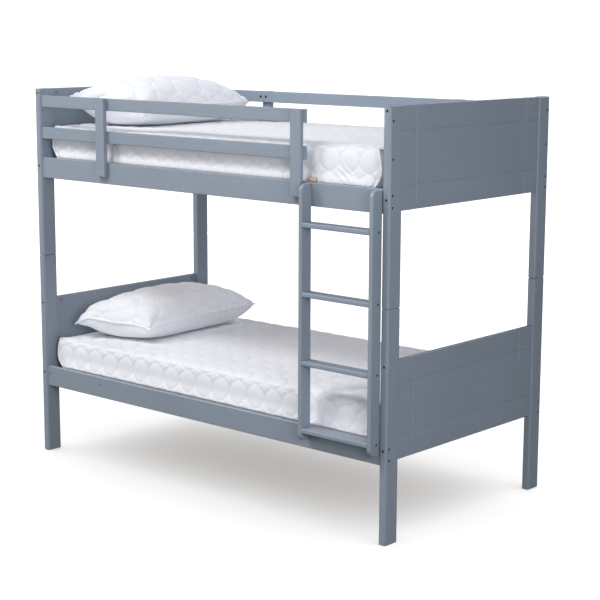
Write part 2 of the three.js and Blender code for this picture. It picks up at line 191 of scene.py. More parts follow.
class Shader:
    """A material whose nodes are added and linked by short calls."""

    def __init__(self, name, roughness, specular=0.5):
        self.material = bpy.data.materials.new(name)
        self.material.use_nodes = True
        self.tree = self.material.node_tree
        self.out = self.tree.nodes["Principled BSDF"]
        self.out.inputs["Roughness"].default_value = roughness
        self.out.inputs["Specular IOR Level"].default_value = specular

    def feed(self, socket, value):
        """Links another node's output to the socket, or sets the socket's own value."""
        if isinstance(value, bpy.types.NodeSocket):
            self.tree.links.new(value, socket)
        else:
            socket.default_value = value

    def node(self, kind, values=None, **settings):
        made = self.tree.nodes.new(kind)
        for key, value in settings.items():
            setattr(made, key, value)
        for key, value in (values or {}).items():
            self.feed(made.inputs[key], value)
        return made

    def place(self, scale=(1, 1, 1), turn=(0, 0, 0)):
        """The point on the object in metres, stretched."""
        source = self.node("ShaderNodeTexCoord").outputs["Object"]
        values = {"Vector": source, "Scale": scale, "Rotation": turn}
        return self.node("ShaderNodeMapping", values).outputs[0]

    def flat_place(self):
        """The point on the cloth's flat pattern, in metres."""
        return self.node("ShaderNodeUVMap", uv_map="flat").outputs[0]

    def noise(self, where, scale, detail=3.0, roughness=0.5):
        values = {"Vector": where, "Scale": scale, "Detail": detail, "Roughness": roughness}
        return self.node("ShaderNodeTexNoise", values).outputs["Fac"]

    def math(self, operation, a, b=0.0, c=0.0):
        return self.node("ShaderNodeMath", {0: a, 1: b, 2: c}, operation=operation).outputs[0]

    def remap(self, value, low, high, to_low, to_high):
        values = {"Value": value, "From Min": low, "From Max": high}
        values.update({"To Min": to_low, "To Max": to_high})
        return self.node("ShaderNodeMapRange", values).outputs[0]

    def wave(self, where, scale, direction, distortion, **more):
        """Even ribs across the direction, each a little wavy."""
        values = {"Vector": where, "Scale": scale, "Distortion": distortion, **more}
        return self.node("ShaderNodeTexWave", values, bands_direction=direction).outputs["Fac"]

    def blend(self, share, a, b):
        values = {"Factor": share, "A": with_alpha(a), "B": with_alpha(b)}
        made = self.node("ShaderNodeMix", data_type="RGBA")
        for socket in made.inputs:
            if socket.enabled and socket.name in values:
                self.feed(socket, values[socket.name])
        return next(s for s in made.outputs if s.enabled)

    def bump(self, height, strength, distance, below=None):
        values = {"Height": height, "Strength": strength, "Distance": distance}
        if below is not None:
            values["Normal"] = below
        return self.node("ShaderNodeBump", values).outputs[0]

    def use(self, **sockets):
        names = {"colour": "Base Color", "roughness": "Roughness", "normal": "Normal"}
        for key, socket in sockets.items():
            self.tree.links.new(socket, self.out.inputs[names[key]])


# ------------------------------------ painted and bare wood

PAINT = (0.246, 0.293, 0.352)
PINE_DARK, PINE_LIGHT = (0.42, 0.25, 0.105), (0.66, 0.47, 0.24)


def painted_wood(name, grain_scale):
    """Satin paint brushed on wood, whose grain runs along the axis with the small scale."""
    s = Shader(name, 0.45, 0.4)
    along = s.place(grain_scale)
    grain = s.noise(along, 9.0, 4.0, 0.6)
    fine = s.noise(along, 34.0, 2.0, 0.5)
    cloudy = s.noise(s.place(), 2.2, 2.0, 0.5)
    peel = s.noise(s.place(), 420.0, 1.0, 0.5)
    darker, lighter = shades(PAINT, 0.93, 1.07)
    share = s.math("MULTIPLY_ADD", grain, 0.45, s.math("MULTIPLY", cloudy, 0.55))
    s.use(colour=s.blend(s.remap(share, 0.3, 0.7, 0.0, 1.0), darker, lighter))
    s.use(roughness=s.remap(share, 0.3, 0.7, 0.5, 0.4))
    wood = s.bump(s.math("ADD", grain, s.math("MULTIPLY", fine, 0.5)), 0.18, 0.0012)
    s.use(normal=s.bump(peel, 0.05, 0.0004, wood))
    return s.material


def bare_wood(name, grain_scale):
    """Planed pine with darker streaks."""
    s = Shader(name, 0.62, 0.35)
    along = s.place(grain_scale)
    grain = s.noise(along, 7.0, 5.0, 0.65)
    streak = s.noise(along, 26.0, 2.0, 0.5)
    share = s.math("MULTIPLY_ADD", grain, 0.7, s.math("MULTIPLY", streak, 0.3))
    s.use(colour=s.blend(s.remap(share, 0.35, 0.65, 0.0, 1.0), PINE_DARK, PINE_LIGHT))
    s.use(normal=s.bump(share, 0.25, 0.001))
    return s.material


GRAIN_SCALES = {"x": (1, 11, 11), "y": (11, 1, 11), "z": (11, 11, 1)}
PAINTS = {axis: painted_wood("paint_along_" + axis, scale) for axis, scale in GRAIN_SCALES.items()}
PINES = {axis: bare_wood("pine_along_" + axis, scale) for axis, scale in GRAIN_SCALES.items()}


def longest_axis(node):
    low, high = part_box(node)
    return "xyz"[np.argmax(high - low)]


def smooth_board(obj):
    """Rounded edges shade smoothly, flat faces stay flat, and sharp ends stay sharp."""
    mesh = obj.data
    for stale in ("custom_normal", "sharp_edge"):
        if stale in mesh.attributes:
            mesh.attributes.remove(mesh.attributes[stale])
    mesh.polygons.foreach_set("use_smooth", [True] * len(mesh.polygons))
    weld = obj.modifiers.new("weld", "WELD")
    weld.merge_threshold = 0.02 * MM
    split = obj.modifiers.new("split", "EDGE_SPLIT")
    split.split_angle = math.radians(40)
    normals = obj.modifiers.new("normals", "WEIGHTED_NORMAL")
    normals.keep_sharp = True


def finish_frame():
    """Paints every board, and leaves the slats and the joint pins bare."""
    for name, obj in NODES.items():
        if "mattress" in name or "pillow" in name:
            continue
        bare = "slat" in name or "pin" in name
        obj.data.materials.clear()
        obj.data.materials.append((PINES if bare else PAINTS)[longest_axis(name)])
        smooth_board(obj)


finish_frame()

# ------------------------------------ fasteners


def worn_metal(name, colours, roughness, scale, specular=0.5, metallic=0.0):
    """Plated steel that varies between two colours and two roughnesses."""
    s = Shader(name, roughness[1], specular)
    s.out.inputs["Metallic"].default_value = metallic
    worn = s.noise(s.place(), scale, 2.0, 0.5)
    s.use(colour=s.blend(worn, *colours))
    s.use(roughness=s.remap(worn, 0.3, 0.7, *roughness))
    return s.material


# BLACK is for the bolts and screws, and ZINC for the barrel nuts.
BLACK = worn_metal("black_oxide", ((0.002,) * 3, (0.006,) * 3), (0.4, 0.6), 900.0, specular=0.1)
ZINC = worn_metal("zinc", ((0.16, 0.16, 0.17), (0.26, 0.26, 0.28)), (0.35, 0.5), 700.0, metallic=0.9)

SIDES = 24  # of every round fastener
HEAD_PROFILE = ((4.9, -5.0), (5.1, -0.8), (4.6, -0.1), (4.2, 0), (3.1, 0))  # radius and height in mm
NUT_PROFILE = ((7.0, -3.0), (7.0, 0.2), (6.5, 0.5))
SOCKET_HALF_WIDTH = 2.5  # of the hex socket, across its flats
SOCKET_TOP = -0.3
SOCKET_DEPTH = 2.8
SHALLOW_SOCKET = 0.6
SLOT_HALF_WIDTH = 0.8  # of the barrel nut's screwdriver slot
SLOT_LENGTH_SHARE = 0.86
SLOT_DEPTH = 0.6


def ring_of(bm, radius, height):
    """A ring of points about the z axis, both sizes in millimetres."""
    angles = [2 * math.pi * i / SIDES for i in range(SIDES)]
    radius, height = radius * MM, height * MM
    return [bm.verts.new((radius * math.cos(a), radius * math.sin(a), height)) for a in angles]


def bridge(bm, lower, upper):
    count = len(lower)
    for i in range(count):
        j = (i + 1) % count
        bm.faces.new((lower[i], lower[j], upper[j], upper[i]))


def add_turned_body(bm, profile):
    """A solid of revolution, open at its top, whose last ring is given back."""
    rings = [ring_of(bm, radius, height) for radius, height in profile]
    for lower, upper in zip(rings, rings[1:]):
        bridge(bm, lower, upper)
    bm.faces.new(list(reversed(rings[0])))
    return rings[-1]


def add_hole(bm, mouth, depth):
    """A flat-bottomed hole below a ring of points, its floor this far under z = 0."""
    floor = [bm.verts.new((v.co.x, v.co.y, -depth * MM)) for v in mouth]
    bridge(bm, mouth, floor)
    bm.faces.new(floor)


def add_socket_head(bm, depth=SOCKET_DEPTH):
    """A round head with a hex socket, its top at z = 0 and its shank towards -z."""
    rim = add_turned_body(bm, HEAD_PROFILE)
    hexagon = []
    for i in range(SIDES):
        angle = 2 * math.pi * i / SIDES
        off_flat = (angle + math.pi / 6) % (math.pi / 3) - math.pi / 6
        radius = SOCKET_HALF_WIDTH * MM / math.cos(off_flat)
        x, y = radius * math.cos(angle), radius * math.sin(angle)
        hexagon.append(bm.verts.new((x, y, SOCKET_TOP * MM)))
    bridge(bm, rim, hexagon)
    add_hole(bm, hexagon, depth)


def add_proud_head(bm):
    """A head that stands on the board, so its socket is shallow."""
    add_socket_head(bm, SHALLOW_SOCKET)


def add_barrel_nut(bm):
    """The round end of a cross dowel, just proud of the board, with a screwdriver slot."""
    rim = add_turned_body(bm, NUT_PROFILE)
    half = SLOT_HALF_WIDTH * MM
    slot = []
    for v in rim:
        y = max(-half, min(half, v.co.y))
        slot.append(bm.verts.new((v.co.x * SLOT_LENGTH_SHARE, y, v.co.z)))
    bridge(bm, rim, slot)
    add_hole(bm, slot, SLOT_DEPTH)


def facing(point, outward):
    """The matrix that puts a fastener's z axis along outward at the point, in millimetres."""
    turn = Vector(outward).to_track_quat("Z", "Y").to_matrix().to_4x4()
    return Matrix.Translation(Vector(point) * MM) @ turn


def add_fasteners(name, body, builder, places, material, size=1.0):
    """One piece for all the fasteners of a kind on a body."""
    bm = bmesh.new()
    for point, outward in places:
        start = len(bm.verts)
        builder(bm)
        bm.verts.ensure_lookup_table()
        turn = facing(point, outward) @ Matrix.Scale(size, 4)
        bmesh.ops.transform(bm, matrix=turn, verts=bm.verts[start:])
    bmesh.ops.recalc_face_normals(bm, faces=bm.faces)
    mesh = bpy.data.meshes.new(name)
    bm.to_mesh(mesh)
    bm.free()
    mesh.materials.append(material)
    obj = add_object(name, mesh)
    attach(obj, body)


# Where the fasteners sit, in millimetres. The posts' middle lies off the frame's by SHIFT in Y.
SHIFT = 18.0
BOTH = (-1, 1)
POST_END_FACE = 999.5
POST_SIDE_FACE = 518.15
POST_X = 982.0
RAIL_Y = 500.65
HEAD_DEPTH = 2.2  # a bolt head's top under the wood's face
PANEL_INNER_FACE, PANEL_NUT_Y = 976.5, 414.0
LOWER_RAIL_BOLTS = (329, 373)
UPPER_RAIL_BOLTS = (1273, 1317)
LOWER_PANEL_BOLTS = (365.5, 685.5)
UPPER_PANEL_BOLTS = (1301.5, 1621.5)
GUARD_HEIGHTS = (1586.5, 1448.0)
GUARD_NUT_X = 934.5
GUARD_INNER_FACE = 491.15
GUARD_SCREW_TOP = 490.2
GUARD_SCREW_X = (-565.0, 546.0)  # the middle of each pair
GUARD_SCREW_STEP = 16.4  # from a pair's middle to each screw
GUARD_SCREW_SIZE = 1.2
LADDER_X, LADDER_HALF_WIDTH, LADDER_Y = 780.5, 180, -510.45
LOWEST_RUNG, RUNG_SPACING, RUNG_COUNT = 387.5, 265.5, 4
PILOT_X, PILOT_HEIGHT = (-951.5, -609.5), 363
PILOT_TOP_Y = -491.15


def bolt_places(rail_heights, panel_heights):
    """The bolts through the posts into the rails, then those into the end panels."""
    places = []
    for end in BOTH:
        for side in BOTH:
            for z in rail_heights:
                x = end * (POST_END_FACE - HEAD_DEPTH)
                places.append(((x, side * RAIL_Y + SHIFT, z), (end, 0, 0)))
            for z in panel_heights:
                y = side * (POST_SIDE_FACE - HEAD_DEPTH) + SHIFT
                places.append(((end * POST_X, y, z), (0, side, 0)))
    return places


def nut_places(panel_heights):
    """The end panels' barrel nuts, on their inner faces."""
    return [
        ((end * PANEL_INNER_FACE, side * PANEL_NUT_Y + SHIFT, z), (-end, 0, 0))
        for end in BOTH for side in BOTH for z in panel_heights
    ]


def guard_nut_places():
    """The guard rails' barrel nuts; the front guard reaches only the head end's post."""
    ends = ((-1, -1), (-1, 1), (1, 1))
    return [
        ((end * GUARD_NUT_X, side * GUARD_INNER_FACE + SHIFT, z), (0, -side, 0))
        for end, side in ends for z in GUARD_HEIGHTS
    ]


def guard_screw_places():
    """Two screws through each guard rail into each stile."""
    steps = (-GUARD_SCREW_STEP, GUARD_SCREW_STEP)
    return [
        ((middle + step, side * GUARD_SCREW_TOP + SHIFT, z), (0, -side, 0))
        for side in BOTH for middle in GUARD_SCREW_X for z in GUARD_HEIGHTS for step in steps
    ]


def rung_bolt_places():
    x = LADDER_HALF_WIDTH - HEAD_DEPTH
    return [
        ((LADDER_X + end * x, LADDER_Y, LOWEST_RUNG + RUNG_SPACING * i), (end, 0, 0))
        for end in BOTH for i in range(RUNG_COUNT)
    ]


def pilot_places():
    """The two holes for the ladder's foot at the head end."""
    return [((x, PILOT_TOP_Y, PILOT_HEIGHT), (0, -1, 0)) for x in PILOT_X]


add_fasteners("lower_bolts", "lower_bed", add_socket_head,
              bolt_places(LOWER_RAIL_BOLTS, LOWER_PANEL_BOLTS), BLACK)
add_fasteners("upper_bolts", "upper_bed", add_socket_head,
              bolt_places((*UPPER_RAIL_BOLTS, *GUARD_HEIGHTS), UPPER_PANEL_BOLTS), BLACK)
add_fasteners("ladder_bolts", "upper_bed", add_socket_head, rung_bolt_places(), BLACK)
add_fasteners("guard_screws", "upper_bed", add_proud_head, guard_screw_places(), BLACK,
              GUARD_SCREW_SIZE)
add_fasteners("rail_inserts", "lower_bed", add_socket_head, pilot_places(), BLACK)
add_fasteners("lower_nuts", "lower_bed", add_barrel_nut, nut_places(LOWER_PANEL_BOLTS), ZINC)
add_fasteners("upper_nuts", "upper_bed", add_barrel_nut, nut_places(UPPER_PANEL_BOLTS), ZINC)
add_fasteners("guard_nuts", "upper_bed", add_barrel_nut, guard_nut_places(), ZINC)

# ------------------------------------ cloth

RING_PITCH = 0.097  # from ring to ring of the mattresses' quilting
RING_RADIUS, INNER_RING_RADIUS = 0.0465, 0.033
PILLOW_PITCH = 0.119
PILLOW_RING_RADII = (0.055, 0.040)


def add_mesh_piece(name, points, faces, flat=None):
    """A mesh object with smooth faces and, for cloth, the flat place of each face corner."""
    mesh = bpy.data.meshes.new(name)
    corners = [tuple(int(i) for i in face) for face in faces]
    mesh.from_pydata([tuple(point) for point in points], [], corners)
    mesh.polygons.foreach_set("use_smooth", [True] * len(mesh.polygons))
    if flat is not None:
        layer = mesh.uv_layers.new(name="flat")
        layer.data.foreach_set("uv", np.asarray(flat, np.float32).ravel())
    return add_object(name, mesh)


def read_vectors(items, key, width=3):
    """A vector of every item of a mesh, as rows of numbers."""
    values = np.empty(len(items) * width, np.float32)
    items.foreach_get(key, values)
    return values.reshape(-1, width).astype(float)


def points_of(mesh):
    return read_vectors(mesh.vertices, "co")


def normals_of(mesh):
    return read_vectors(mesh.vertex_normals, "vector")


def set_points(mesh, points):
    mesh.vertices.foreach_set("co", np.asarray(points, np.float32).ravel())
    mesh.update()


def run_cloth(obj, frames, pressure, mass, gravity, stiffness, bending):
    """Blows the closed mesh up as cloth, and gives its points after the last frame."""
    modifier = obj.modifiers.new("cloth", "CLOTH")
    cloth = modifier.settings
    cloth.quality = 6
    cloth.mass = mass
    cloth.air_damping = 2.0
    cloth.tension_stiffness = cloth.compression_stiffness = stiffness
    cloth.shear_stiffness = stiffness * 0.4
    cloth.bending_stiffness = bending
    cloth.use_pressure = True
    cloth.uniform_pressure_force = pressure
    cloth.effector_weights.gravity = gravity
    modifier.collision_settings.distance_min = 2 * MM
    modifier.collision_settings.use_self_collision = False
    modifier.point_cache.frame_start, modifier.point_cache.frame_end = 1, frames
    for number in range(1, frames + 1):
        scene.frame_set(number)
    shown = obj.evaluated_get(bpy.context.evaluated_depsgraph_get())
    points = points_of(shown.data)
    obj.modifiers.clear()
    scene.frame_set(1)
    return points


def subdivide(obj, times):
    """Makes the mesh finer and smoother, and keeps the result as its own mesh."""
    finer = obj.modifiers.new("finer", "SUBSURF")
    finer.levels = finer.render_levels = times
    finer.uv_smooth = "PRESERVE_BOUNDARIES"
    graph = bpy.context.evaluated_depsgraph_get()
    shown = obj.evaluated_get(graph)
    made = bpy.data.meshes.new_from_object(shown, preserve_all_data_layers=True, depsgraph=graph)
    obj.modifiers.clear()
    old = obj.data
    obj.data = made
    bpy.data.meshes.remove(old)


def flat_points(mesh):
    """Each point's place on the flat pattern, from one of the face corners that meet there."""
    corners = np.empty(len(mesh.loops), np.int32)
    mesh.loops.foreach_get("vertex_index", corners)
    places = np.zeros((len(mesh.vertices), 2))
    places[corners] = read_vectors(mesh.uv_layers["flat"].data, "uv", 2)
    return places


def hand_drawn(flat, seed):
    """The pattern as sewn: its rings wander a little."""
    u, v = flat[:, 0], flat[:, 1]
    wide, narrow = 2.6 * MM, 1.6 * MM
    across = wide * np.sin(v * 23 + u * 9 + seed) + narrow * np.sin(u * 41 - v * 17 + 2 * seed)
    along = wide * np.sin(u * 19 - v * 11 + 3 * seed) + narrow * np.sin(v * 37 + u * 13 + seed)
    return flat + np.stack([across, along], axis=1)


def wander_pattern(mesh, seed):
    layer = mesh.uv_layers["flat"].data
    sewn = hand_drawn(read_vectors(layer, "uv", 2), seed)
    layer.foreach_set("uv", sewn.astype(np.float32).ravel())


def set_share(mesh, name, values):
    """Keeps a number from 0 to 1 for each point, for the material to read."""
    layer = mesh.attributes.new(name, "FLOAT", "POINT")
    layer.data.foreach_set("value", np.asarray(values, np.float32))


def groove(distance, width):
    """One at the middle of a soft groove, and nothing well away from it."""
    return np.exp(-(distance / width) ** 2)


def ring_relief(flat, pitch, outer, inner, depth, width):
    """How far the cover is drawn in along its stitched rings, at places on the flat pattern."""
    cell = flat - pitch * np.round(flat / pitch)
    reach = np.hypot(cell[:, 0], cell[:, 1])
    drawn = groove(reach - outer, width) + 0.35 * groove(reach - inner, width * 0.8)
    return -depth * np.minimum(drawn, 1.0)


def tube_faces(rings, sides, closed):
    """Squares between neighbouring rings of points; a closed tube's last ring meets its first."""
    faces = []
    for i in range(rings if closed else rings - 1):
        j = (i + 1) % rings
        for k in range(sides):
            m = (k + 1) % sides
            faces.append((i * sides + k, i * sides + m, j * sides + m, j * sides + k))
    return faces


def tube_along(path, radius, sides=8):
    """Points and faces of a tube along a closed loop, whose radius may change along it."""
    path = np.asarray(path, float)
    ahead = np.roll(path, -1, axis=0) - np.roll(path, 1, axis=0)
    ahead /= np.linalg.norm(ahead, axis=1)[:, None]
    side = np.cross(ahead, (0.0, 0.0, 1.0))
    weak = np.linalg.norm(side, axis=1) < 0.2
    side[weak] = np.cross(ahead[weak], (1.0, 0.0, 0.0))
    for _ in range(6):
        side = (np.roll(side, 1, axis=0) + side + np.roll(side, -1, axis=0)) / 3
        side -= ahead * (side * ahead).sum(axis=1)[:, None]
        side /= np.linalg.norm(side, axis=1)[:, None]
    above = np.cross(side, ahead)
    radius = np.broadcast_to(radius, len(path))[:, None]
    angles = [2 * math.pi * i / sides for i in range(sides)]
    rows = [path + radius * (math.cos(a) * side + math.sin(a) * above) for a in angles]
    return np.stack(rows, axis=1).reshape(-1, 3), tube_faces(len(path), sides, closed=True)


# ------------------------------------ pillows

PILLOW_WIDTH, PILLOW_LENGTH = 0.395, 0.735  # between the tips
SIDES_DRAWN_IN = (0.055, 0.03)  # share of the half width and half length, between the tips
PILLOW_FLAT = (0.47, 0.80)  # the cover laid flat
PILLOW_CELLS = (42, 72)
# Each sheet's greatest height from the seam, how full it stays across and along, and how far the
# thin ears reach in from the tips.
TOP_SHEET = (0.118, 2.2, 2.6, 0.066)
BOTTOM_SHEET = (-0.088, 4.4, 4.4, 0.045)
UNDER_SHEET = 3.0  # where the pillow's plain sheet lies on the flat pattern
LEFT_TIP, FRONT_TIP = (-0.8795, -0.400), (-0.5125, -0.287)
RIGHT_TIPS = {"lower": (-0.5495, 0.440), "upper": (-0.574, 0.430)}
CRESTS = {"lower": 0.210, "upper": 0.215}
HEAD_LIFTS = {"lower": 0.022, "upper": 0.045}  # where the pillow leans on the end panel
EAR_DROPS = {"lower": 0.042, "upper": 0.0}
FRONT_DROP = 0.016
HEAD_REACH, EAR_REACH, FRONT_REACH = 0.21, 0.075, 0.11
PILLOW_RING_DEPTH, PILLOW_RING_WIDTH = 5.5 * MM, 7.5 * MM
PUCKER_DEPTH = 2.0 * MM
CORD_RADIUS, CORD_RADIUS_AT_TIPS = 3.8 * MM, 1.8 * MM
CORD_PROUD = 3.5 * MM  # of the seam, away from the tips
CORD_TAPER = 0.03


def pillow_point(a, b, sheet):
    """The place of a point of the stuffed cover; a and b run from -1 to 1 across and along it."""
    s, t = math.sin(math.pi / 2 * a), math.sin(math.pi / 2 * b)
    x = s * PILLOW_WIDTH / 2 * (1 - SIDES_DRAWN_IN[0] * (1 - t * t) ** 2)
    y = t * PILLOW_LENGTH / 2 * (1 - SIDES_DRAWN_IN[1] * (1 - s * s) ** 2)
    crown, across, along, ear = TOP_SHEET if sheet > 0 else BOTTOM_SHEET
    full = math.sqrt(max(0.0, 1 - abs(s) ** across) * max(0.0, 1 - abs(t) ** along))
    to_tip = math.hypot(PILLOW_WIDTH / 2 - abs(x), PILLOW_LENGTH / 2 - abs(y))
    return x, y, crown * full * (1 - math.exp(-(to_tip / ear) ** 2))


def pillow_mesh(name):
    """The cover's two sheets, which share their border, then the border's points and three tips."""
    across, along = PILLOW_CELLS
    points, faces, flat = [], [], []
    number = {}
    for sheet in (1, -1):
        for i, j in itertools.product(range(across + 1), range(along + 1)):
            key = (i, j, 0 if i in (0, across) or j in (0, along) else sheet)
            if key not in number:
                number[key] = len(points)
                points.append(pillow_point(2 * i / across - 1, 2 * j / along - 1, sheet))
        for i, j in itertools.product(range(across), range(along)):
            corners = [(i, j), (i + 1, j), (i + 1, j + 1), (i, j + 1)][::sheet]
            faces.append([number.get((m, n, 0), number.get((m, n, sheet))) for m, n in corners])
            for m, n in corners:
                v = (n / along - 0.5) * PILLOW_FLAT[1] + (UNDER_SHEET if sheet < 0 else 0)
                flat.append(((m / across - 0.5) * PILLOW_FLAT[0], v))
    border = [(i, 0) for i in range(across)] + [(across, j) for j in range(along)]
    border += [(i, along) for i in range(across, 0, -1)] + [(0, j) for j in range(along, 0, -1)]
    seam = [number[(i, j, 0)] for i, j in border]
    corners = [number[(i, j, 0)] for i, j in ((0, 0), (across, 0), (across, along), (0, along))]
    pillow = add_mesh_piece(name, points, faces, flat)
    pointed = np.zeros(len(points))
    pointed[corners] = 1.0
    set_share(pillow.data, "crease_vert", pointed)
    return pillow, seam, corners[:3]


def add_table():
    """A flat surface for cloth to come to rest on, taken away after the simulation."""
    table = add_mesh_piece("resting_place", level_square(1.5), [(0, 1, 2, 3)])
    table.modifiers.new("collision", "COLLISION")
    table.collision.thickness_outer = 1 * MM
    return table


def settle(pillow):
    """The stuffed cover sinks on to a flat surface at z = 0."""
    points = points_of(pillow.data)
    start_height = 4 * MM
    points[:, 2] -= points[:, 2].min() - start_height
    set_points(pillow.data, points)
    table = add_table()
    points = run_cloth(pillow, frames=26, pressure=6.0, mass=0.02, gravity=0.6,
                       stiffness=12.0, bending=1.5)
    bpy.data.objects.remove(table)
    points[:, 2] -= points[:, 2].min()
    return points


def lay_by_tips(points, tips, places, crest):
    """Moves the points so that three tips come over their places, and the crest to its height."""
    here = np.array([[*points[tip][:2], 1.0] for tip in tips])
    there = np.array([place[:2] for place in places])
    laid = points.copy()
    laid[:, :2] = np.c_[points[:, :2], np.ones(len(points))] @ np.linalg.solve(here, there)
    laid[:, 2] *= crest / points[:, 2].max()
    return laid


def droop(points, place, reach, drop):
    """Lets the cover hang down near a place."""
    away = np.linalg.norm(points[:, :2] - np.array(place[:2]), axis=1)
    points[:, 2] -= drop * np.clip(1 - away / reach, 0, 1) ** 1.5


def two_waves(along, long, short, swing, share, phase=0):
    """An uneven ripple from a long wave, which drifts, and a weaker short one."""
    turn = 2 * math.pi * along
    drift, slowness = swing
    return np.sin(turn / long + drift * np.sin(along * slowness)) + share * np.sin(turn / short + phase)


def seam_distances(flat):
    """How far places on the flat pattern are from the long and the short seams, and their v."""
    edge = np.array(PILLOW_FLAT) / 2
    v = np.where(np.abs(flat[:, 1]) > 1, flat[:, 1] - UNDER_SHEET, flat[:, 1])
    return edge[0] - np.abs(flat[:, 0]), edge[1] - np.abs(v), v


def seam_puckers(flat):
    """Short gathers square to the seam, a few tens of millimetres long."""
    from_long, from_short, v = seam_distances(flat)
    along = np.where(from_long < from_short, v, flat[:, 0])
    away = np.minimum(from_long, from_short)
    ripple = two_waves(along, 0.031, 0.0187, (1.3, 21), 0.6, 2)
    return ripple * np.exp(-(away / 0.035)) * np.clip(away / 0.006, 0, 1)


def lumps(points, seed):
    """The filling's soft unevenness, from a few slow waves that cross."""
    x, y = points[:, 0], points[:, 1]
    slow = np.sin(x * 23 + y * 31 + seed)
    slow += np.sin(x * 41 - y * 19 + 2 * seed)
    slow += 0.7 * np.sin(y * 53 + x * 11 + 3 * seed)
    return 0.6 * MM * slow


def pillow_cord_path(pillow, laid, seam, from_tips):
    """The corded seam's middle line: just outside the cover, and smoothed."""
    proud = CORD_PROUD * np.clip(from_tips / CORD_TAPER, 0, 1)
    path = (laid + normals_of(pillow.data) * proud[:, None])[seam]
    for _ in range(3):
        path = (np.roll(path, 1, axis=0) + 2 * path + np.roll(path, -1, axis=0)) / 4
    return path


def quilt_pillow(pillow, low, seed):
    """Draws the cover in along its rings, and puckers it at the seam."""
    subdivide(pillow, 1)
    flat = flat_points(pillow.data)
    wander_pattern(pillow.data, seed)
    top_sheet = np.abs(flat[:, 1]) < 1
    away = np.minimum(*seam_distances(flat)[:2])
    quilted = np.where(top_sheet, np.clip(away / 0.02, 0, 1), 0)
    set_share(pillow.data, "quilted", quilted)
    sewn = flat_points(pillow.data)
    rings = ring_relief(sewn, PILLOW_PITCH, *PILLOW_RING_RADII, PILLOW_RING_DEPTH, PILLOW_RING_WIDTH)
    relief = rings * quilted + PUCKER_DEPTH * seam_puckers(flat)
    relief += np.where(top_sheet, lumps(points_of(pillow.data), seed), 0)
    points = points_of(pillow.data) + normals_of(pillow.data) * relief[:, None]
    points[:, 2] = np.maximum(points[:, 2], low + 0.3 * MM)
    set_points(pillow.data, points)


def make_pillow(bed, body, seed, material, trim):
    """A quilted pillow on its mattress, with a corded seam."""
    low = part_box(bed + "_pillow")[0][2]
    pillow, seam, tips = pillow_mesh(bed + "_pillow_cover")
    laid = lay_by_tips(settle(pillow), tips, (LEFT_TIP, FRONT_TIP, RIGHT_TIPS[bed]), CRESTS[bed])
    droop(laid, LEFT_TIP, HEAD_REACH, -HEAD_LIFTS[bed])
    droop(laid, LEFT_TIP, EAR_REACH, EAR_DROPS[bed])
    droop(laid, FRONT_TIP, FRONT_REACH, FRONT_DROP)
    laid[:, 2] += low
    set_points(pillow.data, laid)
    from_tips = np.min([np.linalg.norm(laid - laid[tip], axis=1) for tip in tips], axis=0)
    path = pillow_cord_path(pillow, laid, seam, from_tips)
    full = np.clip(from_tips[seam] / CORD_TAPER, 0, 1)
    radius = CORD_RADIUS_AT_TIPS + (CORD_RADIUS - CORD_RADIUS_AT_TIPS) * full
    quilt_pillow(pillow, low, seed)
    pillow.data.materials.append(material)
    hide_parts(bed + "_pillow")
    cord = add_mesh_piece(bed + "_pillow_piping", *tube_along(path, radius))
    cord.data.materials.append(trim)
    for piece in (pillow, cord):
        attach(piece, body)


# ------------------------------------ mattresses

COVER_STEP = 0.022
CORNER = np.array([0.010, 0.012, 0.012])  # how far each axis's rounding reaches at the edges
FOAM_INSET_LOW = np.array([0.009, 0.003, 0.0005])  # room that the cover leaves inside its place
FOAM_INSET_HIGH = np.array([0.020, 0.003, 0.003])
RINGS_BELOW_EDGE = {"lower": 0.066, "upper": 0.042}  # from the top to the row of rings on the sides
ROWS_TO_MIDDLE = 5
QUILTED_HEIGHT = 0.122  # of the sides, down from the top
CROWN = 0.010
EDGE_CREASE = 0.5
# How far the ends slope in at the top and at the underside, at the head and at the foot.
END_PULLS = {
    "lower": ((0.014, 0.07), (0.022, 0.07)),
    "upper": ((0.014, 0.07), (0.026, 0.07)),
}
OVERHANG = {"lower": 0.010, "upper": 0.006}  # how far the sides lie out over the rails
OVERHANG_HEIGHT = 0.05
END_PANEL = 10.0  # where the end panels' pattern starts on the flat pattern, past the sleeve's
RING_DEPTH, RING_WIDTH = 3.4 * MM, 6.5 * MM
GATHER_DEPTH = 1.1 * MM
PANEL_SEAM, PANEL_SEAM_DEPTH, PANEL_SEAM_WIDTH = 0.016, 3.0 * MM, 0.007
PANEL_CORD_RADIUS = 3.2 * MM
MOST_PUFF = 5 * MM
DRAG_LINES = (  # on the upper mattress's front side, as (x, z) from and to
    ((0.730, 1.398), (0.798, 1.345)),
    ((0.747, 1.407), (0.818, 1.348)),
    ((0.716, 1.376), (0.762, 1.345)),
)
DRAG_DEPTH = 4.0 * MM


